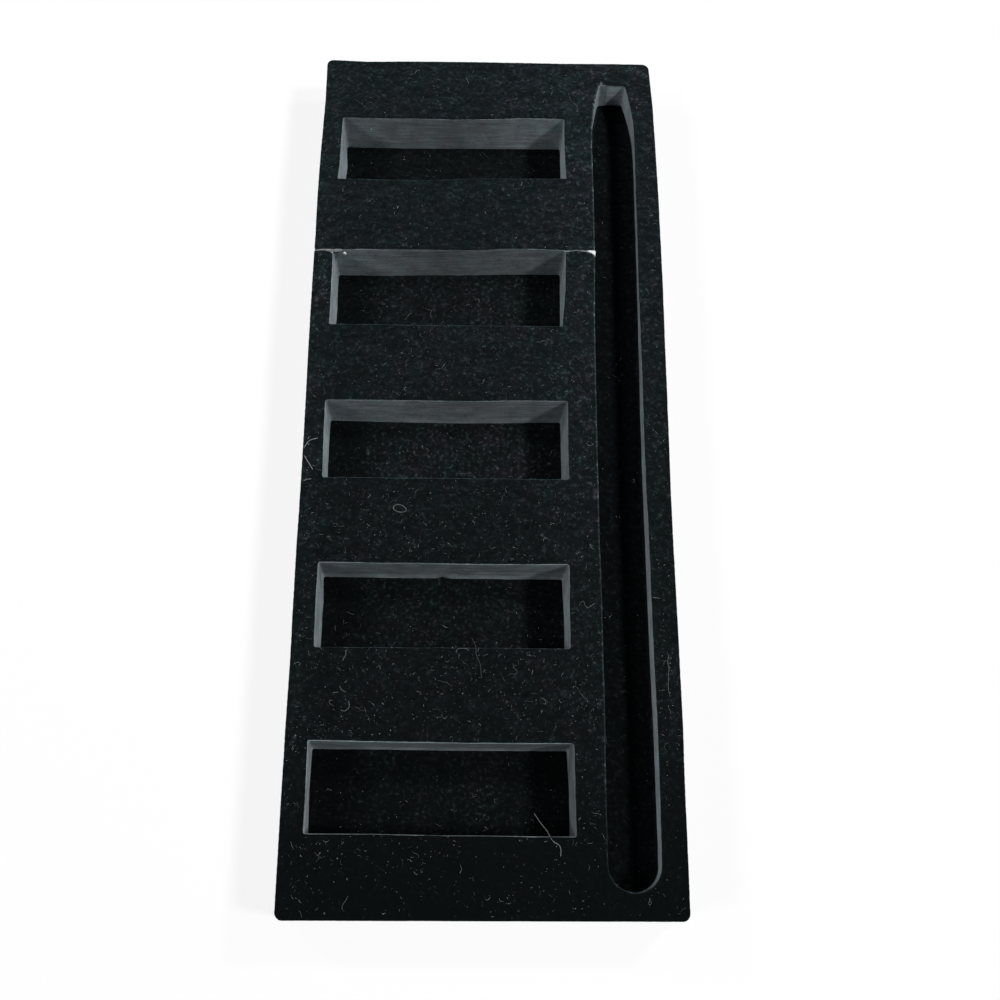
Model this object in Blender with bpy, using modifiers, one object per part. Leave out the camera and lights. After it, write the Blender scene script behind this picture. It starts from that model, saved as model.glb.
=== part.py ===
"""Jewelry insert: a cut foam block faced with velvet, glued on a velvet floor sheet and a base board.

Metres, +Z up. The origin is at the middle of the base board's underside. The pockets lie in a column
along Y and go right through the foam. The long slot runs beside them at +X and goes only part of the way
down, to a velvet strip of its own. It is full and round at its -Y end, and at its +Y end its two sides
curve in to a short flat end. The foam's openings narrow a little from mouth to foot, and the velvet stops
a little short of each mouth, so a thin rim of foam shows round it.
"""

import functools
import math

import bmesh
import bpy

# Pockets: equal openings in one column
POCKET_COUNT = 5
POCKET_LENGTH = 0.0468
POCKET_WIDTH = 0.01605
POCKET_CORNER = 0.0004
RIB_WIDTH = 0.01665
END_MARGIN = 0.0138
SIDE_MARGIN = 0.0038

# Slot: its left side is the one next to the pockets
WEB_WIDTH = 0.0059
SLOT_WIDTH = 0.0090
SLOT_DEPTH = 0.0071
RAIL_WIDTH = 0.0045
SLOT_FAR_MARGIN = 0.0046
SLOT_NEAR_MARGIN = 0.0046
SLOT_CORNER = 0.0005
LEFT_SHOULDER_DEPTH = 0.0020
LEFT_SHOULDER_RUN = 0.0260
RIGHT_SHOULDER_DEPTH = 0.00175
RIGHT_SHOULDER_RUN = 0.0200
SHOULDER_POWER = 3

# Layers, from the bottom up, with a film of glue between each two
BOARD_THICKNESS = 0.0012
FLOOR_VELVET_THICKNESS = 0.0005
FOAM_THICKNESS = 0.0100
TOP_VELVET_THICKNESS = 0.0005
SLOT_VELVET_THICKNESS = 0.0005
GLUE_LINE = 0.0003

# Cut edges
OUTER_CORNER = 0.0013
WALL_DRAFT = 0.00035
VELVET_SETBACK = 0.00025
SLOT_VELVET_CLEARANCE = 0.0003
PILE_EDGE_RADIUS = 0.00015

# Modelling values
CUT_OVERRUN = 0.0005
WELD_DISTANCE = 0.000005
ARC_STEPS = 4
ROUND_END_STEPS = 20
SHOULDER_STEPS = 12
PILE_EDGE_STEPS = 2
PILE_EDGE_LEAST_ANGLE = math.radians(60)

# Places that follow from the sizes above
WIDTH = SIDE_MARGIN + POCKET_LENGTH + WEB_WIDTH + SLOT_WIDTH + RAIL_WIDTH
POCKET_PITCH = POCKET_WIDTH + RIB_WIDTH
LENGTH = 2 * END_MARGIN + POCKET_COUNT * POCKET_PITCH - RIB_WIDTH
LEFT = -WIDTH / 2
RIGHT = WIDTH / 2
NEAR = -LENGTH / 2
FAR = LENGTH / 2
POCKET_LEFT = LEFT + SIDE_MARGIN
POCKET_RIGHT = POCKET_LEFT + POCKET_LENGTH
SLOT_LEFT = POCKET_RIGHT + WEB_WIDTH
SLOT_RIGHT = SLOT_LEFT + SLOT_WIDTH
SLOT_NEAR = NEAR + SLOT_NEAR_MARGIN
SLOT_FAR = FAR - SLOT_FAR_MARGIN
FLOOR_VELVET_BOTTOM = BOARD_THICKNESS + GLUE_LINE
FOAM_BOTTOM = FLOOR_VELVET_BOTTOM + FLOOR_VELVET_THICKNESS + GLUE_LINE
FOAM_TOP = FOAM_BOTTOM + FOAM_THICKNESS
TOP_VELVET_BOTTOM = FOAM_TOP + GLUE_LINE
SLOT_VELVET_BOTTOM = TOP_VELVET_BOTTOM + TOP_VELVET_THICKNESS - SLOT_DEPTH - SLOT_VELVET_THICKNESS
SLOT_FOOT = SLOT_VELVET_BOTTOM - GLUE_LINE

# Colours as the photograph shows them, linear
VELVET_COLOUR = (0.0085, 0.0135, 0.0150, 1)
FOAM_COLOUR = (0.120, 0.135, 0.140, 1)
BOARD_COLOUR = (0.045, 0.045, 0.048, 1)


def clear_scene():
    for leftover in list(bpy.data.objects):
        bpy.data.objects.remove(leftover)


def add_collection(name):
    collection = bpy.data.collections.new(name)
    bpy.context.scene.collection.children.link(collection)
    return collection


def add_material(name, colour, roughness, sheen=0.0):
    material = bpy.data.materials.new(name)
    material.diffuse_color = colour
    material.use_nodes = True
    shader = material.node_tree.nodes["Principled BSDF"]
    shader.inputs["Base Color"].default_value = colour
    shader.inputs["Roughness"].default_value = roughness
    shader.inputs["Metallic"].default_value = 0.0
    shader.inputs["Sheen Weight"].default_value = sheen
    return material


def arc(centre_x, centre_y, radius, start, end, steps):
    """Points of an arc from one angle to another, both ends included."""
    points = []
    for step in range(steps + 1):
        angle = start + (end - start) * step / steps
        points.append((centre_x + radius * math.cos(angle), centre_y + radius * math.sin(angle)))
    return points


def rounded_rectangle(left, near, right, far, radius):
    """Anticlockwise from the lower right corner."""
    quarter = math.pi / 2
    centres = [
        (right - radius, near + radius),
        (right - radius, far - radius),
        (left + radius, far - radius),
        (left + radius, near + radius),
    ]
    points = []
    for corner, (x, y) in enumerate(centres):
        start = (corner - 1) * quarter
        points += arc(x, y, radius, start, start + quarter, ARC_STEPS)
    return points


def pocket_outline(index, inset):
    """The outline of one pocket, made smaller all round by inset. Index 0 is the nearest pocket."""
    near = NEAR + END_MARGIN + index * POCKET_PITCH
    return rounded_rectangle(
        POCKET_LEFT + inset,
        near + inset,
        POCKET_RIGHT - inset,
        near + POCKET_WIDTH - inset,
        POCKET_CORNER,
    )


def shoulder(far, depth, run):
    """How far in and at what Y each point of a slot side lies, from its straight part to the end corner."""
    last_share = 1 - SLOT_CORNER / run
    points = []
    for step in range(SHOULDER_STEPS + 1):
        share = last_share * step / SHOULDER_STEPS
        points.append((depth * share**SHOULDER_POWER, far - run * (1 - share)))
    return points


def slot_outline(inset):
    """The outline of the slot, made smaller all round by inset, anticlockwise from its left side."""
    left = SLOT_LEFT + inset
    right = SLOT_RIGHT - inset
    far = SLOT_FAR - inset
    round_radius = (right - left) / 2
    centre_x = (left + right) / 2
    points = arc(
        centre_x,
        SLOT_NEAR + inset + round_radius,
        round_radius,
        math.pi,
        2 * math.pi,
        ROUND_END_STEPS,
    )
    right_side = [
        (right - offset, y) for offset, y in shoulder(far, RIGHT_SHOULDER_DEPTH, RIGHT_SHOULDER_RUN)
    ]
    left_side = [
        (left + offset, y) for offset, y in shoulder(far, LEFT_SHOULDER_DEPTH, LEFT_SHOULDER_RUN)
    ]
    right_corner_x = right_side[-1][0] - SLOT_CORNER
    left_corner_x = left_side[-1][0] + SLOT_CORNER
    corner_y = far - SLOT_CORNER
    points += right_side[:-1]
    points += arc(right_corner_x, corner_y, SLOT_CORNER, 0, math.pi / 2, ARC_STEPS)
    points += arc(left_corner_x, corner_y, SLOT_CORNER, math.pi / 2, math.pi, ARC_STEPS)
    points += reversed(left_side[:-1])
    return points


def opening_outlines(inset):
    """Every opening of the insert: the pockets from the nearest on, and then the slot."""
    outlines = [pocket_outline(index, inset) for index in range(POCKET_COUNT)]
    outlines.append(slot_outline(inset))
    return outlines


def rim_outline():
    return rounded_rectangle(LEFT, NEAR, RIGHT, FAR, OUTER_CORNER)


def add_outline(curve, points):
    """Adds a closed outline to a flat curve. One that lies inside another is a hole."""
    spline = curve.splines.new("POLY")
    spline.points.add(len(points) - 1)
    for point, (x, y) in zip(spline.points, points):
        point.co = (x, y, 0, 1)
    spline.use_cyclic_u = True


def add_sheet(name, outlines, bottom, thickness, material, collection):
    """A flat sheet inside the first outline, with the other outlines as holes through it."""
    curve = bpy.data.curves.new(name, "CURVE")
    curve.dimensions = "2D"
    curve.fill_mode = "BOTH"
    curve.extrude = thickness / 2
    curve.materials.append(material)
    for outline in outlines:
        add_outline(curve, outline)
    sheet = bpy.data.objects.new(name, curve)
    sheet.location.z = bottom + thickness / 2
    collection.objects.link(sheet)
    return sheet


def as_mesh(curve_object, collection):
    """Puts a welded mesh of the same name in a curve object's place, so that it can be cut."""
    bpy.context.view_layer.update()
    graph = bpy.context.evaluated_depsgraph_get()
    mesh = bpy.data.meshes.new_from_object(curve_object.evaluated_get(graph))
    form = bmesh.new()
    form.from_mesh(mesh)
    bmesh.ops.remove_doubles(form, verts=form.verts, dist=WELD_DISTANCE)
    bmesh.ops.recalc_face_normals(form, faces=form.faces)
    form.to_mesh(mesh)
    form.free()
    name = curve_object.name
    place = curve_object.matrix_world.copy()
    bpy.data.objects.remove(curve_object)
    solid = bpy.data.objects.new(name, mesh)
    solid.matrix_world = place
    collection.objects.link(solid)
    return solid


def draft_at(height):
    """How much smaller an opening is at this height than at the foam's top."""
    return WALL_DRAFT * (FOAM_TOP - height) / FOAM_THICKNESS


def add_drafted_cutter(name, outline_at, foot_height, collection):
    """A loft between an opening's outline at its foot and the wider one above the foam's top."""
    form = bmesh.new()
    rings = []
    for height in (foot_height, FOAM_TOP + CUT_OVERRUN):
        rings.append([form.verts.new((x, y, height)) for x, y in outline_at(draft_at(height))])
    foot, mouth = rings
    form.faces.new(foot)
    form.faces.new(mouth)
    for here, (low, high) in enumerate(zip(foot, mouth)):
        following = (here + 1) % len(foot)
        form.faces.new((low, foot[following], mouth[following], high))
    bmesh.ops.recalc_face_normals(form, faces=form.faces)
    mesh = bpy.data.meshes.new(name)
    form.to_mesh(mesh)
    form.free()
    cutter = bpy.data.objects.new(name, mesh)
    cutter.hide_render = True
    cutter.display_type = "WIRE"
    collection.objects.link(cutter)
    return cutter


def add_opening_cutters(collection):
    cutters = []
    below = FOAM_BOTTOM - CUT_OVERRUN
    for index in range(POCKET_COUNT):
        outline_at = functools.partial(pocket_outline, index)
        name = f"pocket_cutter_{index + 1}"
        cutters.append(add_drafted_cutter(name, outline_at, below, collection))
    cutters.append(add_drafted_cutter("slot_cutter", slot_outline, SLOT_FOOT, collection))
    return cutters


def cut(solid, cutters):
    for cutter in cutters:
        boolean = solid.modifiers.new(cutter.name, "BOOLEAN")
        boolean.operation = "DIFFERENCE"
        boolean.solver = "EXACT"
        boolean.object = cutter


def round_pile_edges(sheet):
    """Rounds a velvet sheet along its rim and its openings, where the pile leans over the cut."""
    weld = sheet.modifiers.new("weld", "WELD")
    weld.merge_threshold = WELD_DISTANCE
    bevel = sheet.modifiers.new("pile_edge", "BEVEL")
    bevel.width = PILE_EDGE_RADIUS
    bevel.segments = PILE_EDGE_STEPS
    bevel.limit_method = "ANGLE"
    bevel.angle_limit = PILE_EDGE_LEAST_ANGLE


def build_foam_block(parts, cutters, material):
    """The thick layer: only the pockets go right through it, and every wall leans in towards its foot."""
    blank = add_sheet("foam_block", [rim_outline()], FOAM_BOTTOM, FOAM_THICKNESS, material, parts)
    block = as_mesh(blank, parts)
    cut(block, add_opening_cutters(cutters))
    return block


def build_top_velvet(parts, material):
    """The pile-faced cloth on top: its openings are a setback wider than the foam's mouths."""
    outlines = [rim_outline(), *opening_outlines(-VELVET_SETBACK)]
    sheet = add_sheet("top_velvet", outlines, TOP_VELVET_BOTTOM, TOP_VELVET_THICKNESS, material, parts)
    round_pile_edges(sheet)
    return sheet


def build_slot_velvet(parts, material):
    """The strip of cloth that lines the slot's floor."""
    inset = draft_at(SLOT_VELVET_BOTTOM) + SLOT_VELVET_CLEARANCE
    outlines = [slot_outline(inset)]
    thickness = SLOT_VELVET_THICKNESS
    strip = add_sheet("slot_velvet", outlines, SLOT_VELVET_BOTTOM, thickness, material, parts)
    round_pile_edges(strip)
    return strip


def build_floor_velvet(parts, material):
    """The unbroken cloth under the foam, which is the floor of the pockets."""
    outlines = [rim_outline()]
    thickness = FLOOR_VELVET_THICKNESS
    sheet = add_sheet("floor_velvet", outlines, FLOOR_VELVET_BOTTOM, thickness, material, parts)
    round_pile_edges(sheet)
    return sheet


def build_base_board(parts, material):
    return add_sheet("base_board", [rim_outline()], 0, BOARD_THICKNESS, material, parts)


def main():
    clear_scene()
    parts = add_collection("jewelry_insert")
    cutters = add_collection("cutters")
    velvet = add_material("velvet", VELVET_COLOUR, 0.95, sheen=0.3)
    foam = add_material("foam", FOAM_COLOUR, 0.9)
    board = add_material("board", BOARD_COLOUR, 0.8)
    build_base_board(parts, board)
    build_floor_velvet(parts, velvet)
    build_foam_block(parts, cutters, foam)
    build_slot_velvet(parts, velvet)
    build_top_velvet(parts, velvet)


main()
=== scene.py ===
"""Looks of the jewelry insert: velvet, cut foam and board, under the photograph's camera and light.

Metres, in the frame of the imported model, on whose outlines and layers the pieces are built. Far means +Y and
near means -Y. Places on the insert and the strays of its cuts are in millimetres, read off the photograph
and rounded.
"""

import math
from collections import namedtuple
from functools import cached_property

import bmesh
import bpy
import numpy as np
from mathutils import Matrix, Vector
from mathutils.geometry import delaunay_2d_cdt


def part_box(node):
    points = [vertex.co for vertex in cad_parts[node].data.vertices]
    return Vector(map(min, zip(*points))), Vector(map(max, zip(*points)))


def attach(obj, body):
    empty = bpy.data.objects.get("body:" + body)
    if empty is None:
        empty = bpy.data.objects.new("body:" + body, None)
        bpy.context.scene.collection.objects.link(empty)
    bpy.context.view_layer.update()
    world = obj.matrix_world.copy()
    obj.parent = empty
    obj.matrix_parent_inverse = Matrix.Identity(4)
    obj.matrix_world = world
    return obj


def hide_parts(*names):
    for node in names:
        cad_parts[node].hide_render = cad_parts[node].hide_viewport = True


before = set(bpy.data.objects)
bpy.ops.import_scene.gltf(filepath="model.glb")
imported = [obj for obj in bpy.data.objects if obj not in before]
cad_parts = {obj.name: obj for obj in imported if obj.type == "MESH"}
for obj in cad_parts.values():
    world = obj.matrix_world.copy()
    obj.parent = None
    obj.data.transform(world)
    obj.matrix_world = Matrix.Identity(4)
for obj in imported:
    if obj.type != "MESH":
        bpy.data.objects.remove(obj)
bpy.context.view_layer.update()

MM = 0.001

# Noise: what mixes a seed and a corner of a lattice into a random value
MIX_SEED, MIX_START, MIX_HALF = 2654435761, 97, 2**23
MIX_FACTOR, MIX_FOLD, MIX_DROP = (np.uint64(number) for number in (0x9E3779B97F4A7C15, 29, 40))

# Camera, as fitted to the photograph
CAMERA_PLACE = (-4.183 * MM, -85.319 * MM, 224.974 * MM)
CAMERA_PITCH = math.radians(70.932)
CAMERA_YAW = math.radians(5.326)
CAMERA_ROLL = math.radians(5.825)
CAMERA_LENS = 42.849
CAMERA_SENSOR = 36.0
CAMERA_CLIP = 0.01

# Light: a soft lamp high at each side and a smaller one of each nearer by, beyond the far end. The slope is a
# shadow's reach across for each unit of height, negative from the left. The size is a share of the distance,
# and the turn is in degrees towards the near end.
Lamp = namedtuple("Lamp", "name slope size distance turn power")
LAMPS = (
    Lamp("right_high", 0.714, 0.125, 3, 15, 62),
    Lamp("right_low", 0.714, 0.125, 0.45, -25, 0.70),
    Lamp("left_high", -0.90, 0.20, 3, 20, 27.5),
    Lamp("left_low", -0.90, 0.20, 0.45, -25, 0.38),
)
WORLD_LEVEL = 0.004
FLOOR_GAP = 0.05 * MM
FLOOR_SIZE = 3.0
FLOOR_GLOW_SHARE = 0.85
FLOOR_COLOUR = (0.88, 0.88, 0.88, 1)

# Colours
VELVET_COLOUR = (0.0026, 0.0037, 0.0041)
VELVET_HUES = ((0.38, (0.88, 1.04, 0.98)), (0.50, (1, 1, 1)), (0.62, (1.36, 0.95, 1.06)))
SHEEN_TINT = (0.58, 0.88, 1.0, 1)
TOP_SHEEN = 0.24
# The floor and slot pile are painted shade: darker copies of the same velvet with less sheen.
FLOOR_SHEEN = 0.11
STRIP_SHEEN = 0.10
FLOOR_SHADE_LEVEL = 0.85
STRIP_SHADE_LEVEL = 0.55
FOAM_COLOUR = (0.212, 0.243, 0.259)
FOAM_HUES = ((0.38, (0.95, 1.01, 0.99)), (0.62, (1.05, 0.99, 1.01)))
TORN_COLOUR = (0.66, 0.69, 0.70)
LINT_COLOUR = (0.55, 0.58, 0.59)
BOARD_COLOUR = (0.045, 0.045, 0.048)

# The velvet's pale tips: where the noise for them starts and ends, and how much lighter they are
TIPS_FROM = 0.46
TIPS_TO = 0.78
TIPS_POWER = 2.2
TIPS_GAIN = 5.5
BETWEEN_TIPS = 0.55

# Meshing
WALL_STEP = 0.40 * MM
PILE_STEP = 0.42 * MM
PILE_JITTER_SHARE = 0.28
SAME_PLACE = 0.002 * MM
SHARP_ANGLE = math.radians(40)
FILL_TOLERANCE = 1e-7
TUBE_ANGLES = (math.pi / 2, math.pi * 7 / 6, math.pi * 11 / 6)

# Seeds of the noise and of the random draws
RIM_SEED, POCKET_SEED, SLOT_SEED = 70, 100, 120
TOP_EDGE_SEED = 200
TOP_PILE_SEEDS, FLOOR_PILE_SEEDS, STRIP_PILE_SEEDS = (300, 310), np.array((330, 340)), (350, 355)
RIDGE_SEED, FLAKE_SEED, CHIP_SEED, LIP_SEED = 400, 430, 440, 460
LINT_SEED, CLUMP_SEED = 500, 510

# Cut foam
POCKET_CORNER = 0.45 * MM
SLOT_CORNER = 0.55 * MM
WALL_LEVELS = 26
RIM_LEVELS = 9
WALL_WAVE = 0.050 * MM
WALL_WAVE_SIZE = 9.0 * MM
WALL_RIPPLE = 0.026 * MM
WALL_RIPPLE_SIZE = 2.2 * MM
WALL_STREAK = 0.018 * MM
WALL_STREAK_LENGTH = 7.0 * MM
WALL_STREAK_HEIGHT = 0.85 * MM
MOUTH_CHAMFER = 0.03 * MM
FLARE_SHARE = 0.22
FLARE_POWER = 1.5
RIM_ROUGHNESS = -0.25

# Velvet
TOP_PILE_WAVE = 0.040 * MM
FLOOR_PILE_WAVE = 0.045 * MM
PILE_WAVE_SIZE = 0.9 * MM
EDGE_FUZZ = 0.030 * MM
EDGE_FUZZ_SIZE = 0.5 * MM
EDGE_OVERHANG = 0.01 * MM
EDGE_CLEARANCE = 0.4 * PILE_STEP
POCKET_ROLL = 0.20 * MM
RIM_ROLL = 0.12 * MM
SLOT_ROLL = 0.38 * MM
ROLL_STEPS = 4
# Painted highlights: how many times lighter the rolled pile is painted along the slot's left edge, and along
# each pocket's near edge.
SLOT_LEFT_EDGE_HIGHLIGHT = 8.0
NEAR_EDGE_HIGHLIGHTS = (1.5, 1.2, 2.3, 2.2, 1.0)
# Painted shade on the top pile: (place, tone) stops along and across the insert. Along it the pile is
# painted darker towards the near end, where less light falls; across it, it is lighter over the left
# margin and over the strip between the pockets and the slot.
EVEN = ((0, 1.0),)
TOP_PAINTED_SHADE_AND_TONES = (
    ((-87, 0.04), (-72, 0.16), (-62, 0.62), (-49, 0.78), (-16, 1.0), (16, 1.42), (49, 1.33), (80, 1.5)),
    ((-33, 1.45), (-29, 0.88), (0, 1.0), (12, 1.3), (18.5, 1.6), (31, 1.15)),
)
FLOOR_EDGE = 0.1 * MM
FLOOR_UNDER_WALL = 0.3 * MM
STRIP_LIFT = 0.02 * MM
STRIP_CLEARANCE = 0.10 * MM
STRIP_TURN_UP = 0.80 * MM
STRIP_TURN_RUN = 0.60 * MM
STRIP_TURN_STEPS = 5

# How far each cut strays from the model, in hundredths of a millimetre, along X for the left and right side
# and along Y for the far and near one. The values are evenly spaced, from the far end on for a left or right
# side and from the left end on for a far or near side. Pockets come far one first.
STRAYS_PER_MM = 100
Sides = namedtuple("Sides", "left right far near")
MOUTH_STRAYS = (
    Sides(
        (45, 36, 27, 25, 0), (43, 33, 30, 45, 62),
        (-75, -80, -65, -72, -36, 15, 10), (5, 5, 15, 85, 100, 125),
    ),
    Sides((-12, -5, -10), (28, 5, -70), (10, 33, 33, 45, 45, 65, 107, 112, 103), (-70, -60, -60, -40, -30)),
    Sides((3, 8, 27), (15, 10, 10, 15), (-26, -17, -15, -17, 15, 24), (-20, -10, -10, 0, 0)),
    Sides((35, 31, 44), (-8, -14, -12), (-17, -22, -16, -28, -22, -4), (0, 5, 12, 15)),
    Sides((22, 36, 37), (25, 30, 33), (0, -14, -26, -32, -34, -24), (30, 25, 10, 5, 0)),
)
FOOT_STRAYS = (
    Sides((35, 33), (33, 40, 66), (-50, -60, -30, -10, 10), (0, 60)),
    Sides((0, 10, 0), (-10, -25), (40, 33, 78, 90, 133, 145), (-70, -40)),
    Sides((-27, -15, -12), (-28, -38, -30), (5, -13, -15, -10, 8, 35), (-20, -10)),
    Sides((-8, 33, 36, 30), (-25, -28), (20, 15, 20), (0, 10)),
    Sides((-55, -38, -13), (18, 22), (20, 10, 5, 5, 10), (30, 0)),
)
RIM_STRAYS = Sides(
    (30, 35, 6, -11, -4, -10, -10, 0, 5, 6, -2, 0, 9, -2, -2, 0, 0),
    (-60, -4, 17, 32, 37, 38, 30, 25, 18, 7, 12, 20, 28, 32, 19, 15, 10),
    (-20, -45, -14, 4, 17, 24, 29, 50, 55), (0, 0),
)
SLOT_LEFT = (45, 10, 30, 35, 27, 3, -13, -15, -20, -20, -20, -10, -7, -7, -17, -17, -20)
SLOT_MOUTH_STRAYS = Sides(
    (15, -10, *SLOT_LEFT[2:]),
    (50, 48, 25, 18, 15, 4, 5, 8, -4, 0, 14, 15, 19, 32, 36, 22, 17),
    (-15, -30), (0, 0),
)
SLOT_FOOT_STRAYS = Sides(
    SLOT_LEFT,
    (40, 90, 95, 82, 77, 64, 51, 36, 29, 27, 30, 32, 38, 44, 53, 52, 50),
    (-105, -60), (0, 0),
)

# Smooth marks on pocket walls: the place along the wall, the depth below the foam's top, how far the mark
# reaches along and up, and how deep it sinks in. All in millimetres.
Mark = namedtuple("Mark", "pocket side place depth length height sink")
MARKS = (
    Mark(0, "left", 68, 11, 3, 5, -0.30),
    Mark(2, "right", 1, 4, 3, 2.2, -0.10),
    Mark(3, "right", -32.7, 6.3, 40, 0.50, 0.14),
    Mark(3, "far", -8, 10.6, 0.9, 0.9, 0.30),
    Mark(3, "far", -5.5, 7.7, 0.5, 0.9, 0.16),
    Mark(3, "far", -4.5, 5.7, 0.5, 0.9, 0.16),
    Mark(3, "far", -3.5, 3.7, 0.5, 0.8, 0.14),
    Mark(4, "right", -66, 5, 9, 0.60, 0.06),
)

# By pocket: how far the velvet stands back from the foam's edge, how far the foot of the far wall flares
# in, and the painted light and shade: how much lighter or darker each cut side and the pile floor are
# painted for how the light falls on them. A floor is painted darker towards its ends, a painted shadow of
# its side walls.
SETBACKS = (0.0 * MM, 0.01 * MM, 0.015 * MM, 0.03 * MM, 0.05 * MM)
SLOT_SETBACK = -0.06 * MM
SLOT_END_SETBACK = 0.03 * MM
SLOT_END_FROM = 74.0 * MM
SETBACK_CHANGE = 0.03 * MM
SETBACK_CHANGE_SIZE = 3.0 * MM
FLARES = (0.0 * MM, 0.0 * MM, 0.16 * MM, 0.28 * MM, 0.28 * MM)
WALL_PAINTED_LIGHT = (
    Sides(1.22, 1.62, 0.91, 1.0),
    Sides(1.32, 1.23, 0.86, 1.0),
    Sides(1.33, 0.97, 0.95, 1.0),
    Sides(1.01, 1.28, 1.10, 1.0),
    Sides(1.12, 0.78, 1.18, 1.0),
)
# Painted light and shade in the slot: its right side painted lighter and its far end darker.
SLOT_PAINTED_LIGHT = Sides(1.0, 1.38, 0.72, 1.0)
FLOOR_PAINTED_LIGHT = (0.55, 1.5, 1.9, 1.25, 0.75)
FLOOR_PAINTED_SHADOW_ACROSS = ((-27, 0.45), (-22.5, 1.2), (9, 1.2), (12, 0.9))
# Painted light: the cut walls are painted this much lighter at the top, over this depth in millimetres.
RIM_PAINTED_LIGHT = 1.14
RIM_PAINTED_LIGHT_DEPTH = 1.6

# The tear from the far corners of the second pocket to the rim and to the slot: the far and the near lip at
# the left and then at the right, and the foam that it bares, all in millimetres.
TORN_POCKET = 1
LIPS = (
    ((-34.9, 40.8), (-34.0, 40.9), (-32.9, 41.0), (-32.0, 41.0), (-31.2, 40.9)),
    ((-34.9, 40.25), (-34.0, 40.35), (-32.9, 40.4), (-31.7, 40.0)),
    ((15.9, 41.7), (18.1, 41.75), (20.0, 41.85), (21.4, 41.75)),
    ((16.0, 41.15), (17.2, 41.35), (18.1, 41.5), (19.0, 41.35), (20.0, 41.2), (21.0, 40.95), (21.4, 40.4)),
)
LIP_STEP = 0.25
LIP_RAG = 0.05
STRAIGHT_PULL = 0.999
TEAR_GRAIN = 0.4
FINE_TEAR_GRAIN = 0.35
TORN_RIDGES = (
    (((-34.9, 40.5), (-33.9, 40.65), (-32.6, 40.7), (-31.4, 40.7), (-30.2, 40.8), (-29.3, 40.8)), 0.30),
    (((15.4, 41.5), (16.8, 41.5), (18.1, 41.62), (19.2, 41.6), (20.1, 41.55)), 0.24),
)
RIDGE_HEIGHT = 0.30
RIDGE_SUNK = 0.03
RIDGE_ROUGHNESS = 0.35
RIDGE_ROWS = 7
RIDGE_TAPER_STEPS = 2.0
RIDGE_END_SHARE = 0.25
TORN_FLAKE = (
    (19.9, 41.6), (20.5, 41.3), (21.2, 40.9), (21.85, 40.35), (21.95, 41.0), (21.9, 41.7), (20.9, 41.8),
)
TORN_CHIP = ((-29.35, 40.3), (-29.1, 40.0), (-28.8, 39.95), (-28.65, 40.15), (-28.85, 40.4))
CHIP_SUNK = 0.4
CHIP_THICKNESS = 0.6
FLAKE_RAGGEDNESS = 0.10
FLAKE_ROUGHNESS = 0.15
TORN_TONE = 0.27

# Lint: short fibres, thickest between the two nearest pockets. Each kind has the share of the fibres up to
# it, its lengths and its radii. All in millimetres.
TOP_LINT = 2900
POCKET_LINT = 480
SLOT_LINT = 70
LINT_ALONG = ((-87, 0.55), (-49, 1.0), (-16, 0.8), (16, 0.5), (49, 0.3), (80, 0.2))
LINT_KINDS = (
    (0.40, (0.08, 0.16), (0.016, 0.040)),
    (0.82, (0.16, 0.45), (0.008, 0.020)),
    (0.97, (0.45, 1.2), (0.007, 0.014)),
    (1.00, (1.2, 3.0), (0.007, 0.012)),
)
LINT_TONE = 1.5
LINT_TONE_SHARES = (0.3, 1.0)
TOP_TRIES = 5
FLOOR_TRIES = 2
RIM_KEPT_CLEAR = 0.5
MOUTH_KEPT_CLEAR = 0.3
FOOT_KEPT_CLEAR = 0.8
CLUMP_SIZE = 7.0
CLUMP_RANGE = (-1.6, 1.0)

# A fibre up to each length in millimetres: its points and how much it turns at each. Then how high it may
# arch for its length, and how thick it is along it.
FIBRE_BENDS = ((0.5, 3, 0.35), (1.3, 5, 0.6), (math.inf, 9, 0.6))
FIBRE_ARCH = 0.12
FIBRE_TAPER = ((0, 0.25, 0.75, 1), (0.5, 1, 1, 0.4))

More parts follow.
